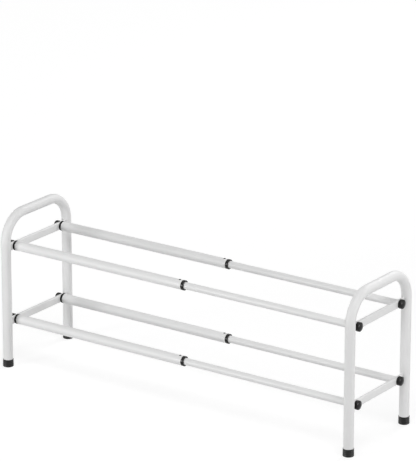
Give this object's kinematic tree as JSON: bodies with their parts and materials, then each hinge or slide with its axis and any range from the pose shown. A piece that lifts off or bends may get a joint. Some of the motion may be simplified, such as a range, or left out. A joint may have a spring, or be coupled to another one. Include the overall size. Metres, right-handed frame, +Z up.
{
  "type": "expandable shoe rack",
  "caption": "Free-standing two-tier shoe rack: bent tube end frames joined by telescoping rails, so that its length can be set.",
  "frame": {"origin": "on the floor, under the middle of the rack when it is fully extended", "axes": "+X along the rails, from the frame that holds the wide tubes to the frame that holds the narrow ones, +Y from front to back, +Z up"},
  "size_m": [0.9554, 0.2512, 0.371],
  "materials": {
    "white_powder_coat": "satin white powder coat",
    "black_plastic": "moulded matt black plastic",
    "black_rubber": "ribbed black rubber",
    "zinc_steel": "bright zinc plate",
    "brass": "turned brass"
  },
  "bodies": {
    "left_half": {"left_frame_tube": "white_powder_coat", "left_lower_crossbar": "white_powder_coat", "left_upper_crossbar": "white_powder_coat", "foot_cap_left_front": "black_rubber", "foot_cap_left_back": "black_rubber", "knob_left_lower_front": "black_plastic", "knob_left_lower_back": "black_plastic", "knob_left_upper_front": "black_plastic", "knob_left_upper_back": "black_plastic", "left_screws": "zinc_steel", "left_threaded_inserts": "brass", "outer_tube_lower_front": "white_powder_coat", "collar_lower_front": "black_plastic", "end_plug_lower_front": "black_plastic", "outer_tube_lower_back": "white_powder_coat", "collar_lower_back": "black_plastic", "end_plug_lower_back": "black_plastic", "outer_tube_upper_front": "white_powder_coat", "collar_upper_front": "black_plastic", "end_plug_upper_front": "black_plastic", "outer_tube_upper_back": "white_powder_coat", "collar_upper_back": "black_plastic", "end_plug_upper_back": "black_plastic"},
    "right_half": {"right_frame_tube": "white_powder_coat", "right_lower_crossbar": "white_powder_coat", "right_upper_crossbar": "white_powder_coat", "foot_cap_right_front": "black_rubber", "foot_cap_right_back": "black_rubber", "knob_right_lower_front": "black_plastic", "knob_right_lower_back": "black_plastic", "knob_right_upper_front": "black_plastic", "knob_right_upper_back": "black_plastic", "right_screws": "zinc_steel", "right_threaded_inserts": "brass", "inner_tube_lower_front": "white_powder_coat", "tube_insert_lower_front": "black_plastic", "tail_glide_lower_front": "black_plastic", "inner_tube_lower_back": "white_powder_coat", "tube_insert_lower_back": "black_plastic", "tail_glide_lower_back": "black_plastic", "inner_tube_upper_front": "white_powder_coat", "tube_insert_upper_front": "black_plastic", "tail_glide_upper_front": "black_plastic", "inner_tube_upper_back": "white_powder_coat", "tube_insert_upper_back": "black_plastic", "tail_glide_upper_back": "black_plastic"}
  },
  "joints": [
    {"name": "length_slide", "type": "slide", "parent": "left_half", "child": "right_half", "axis": [1, 0, 0], "range_m": [-0.428, 0]}
  ]
}
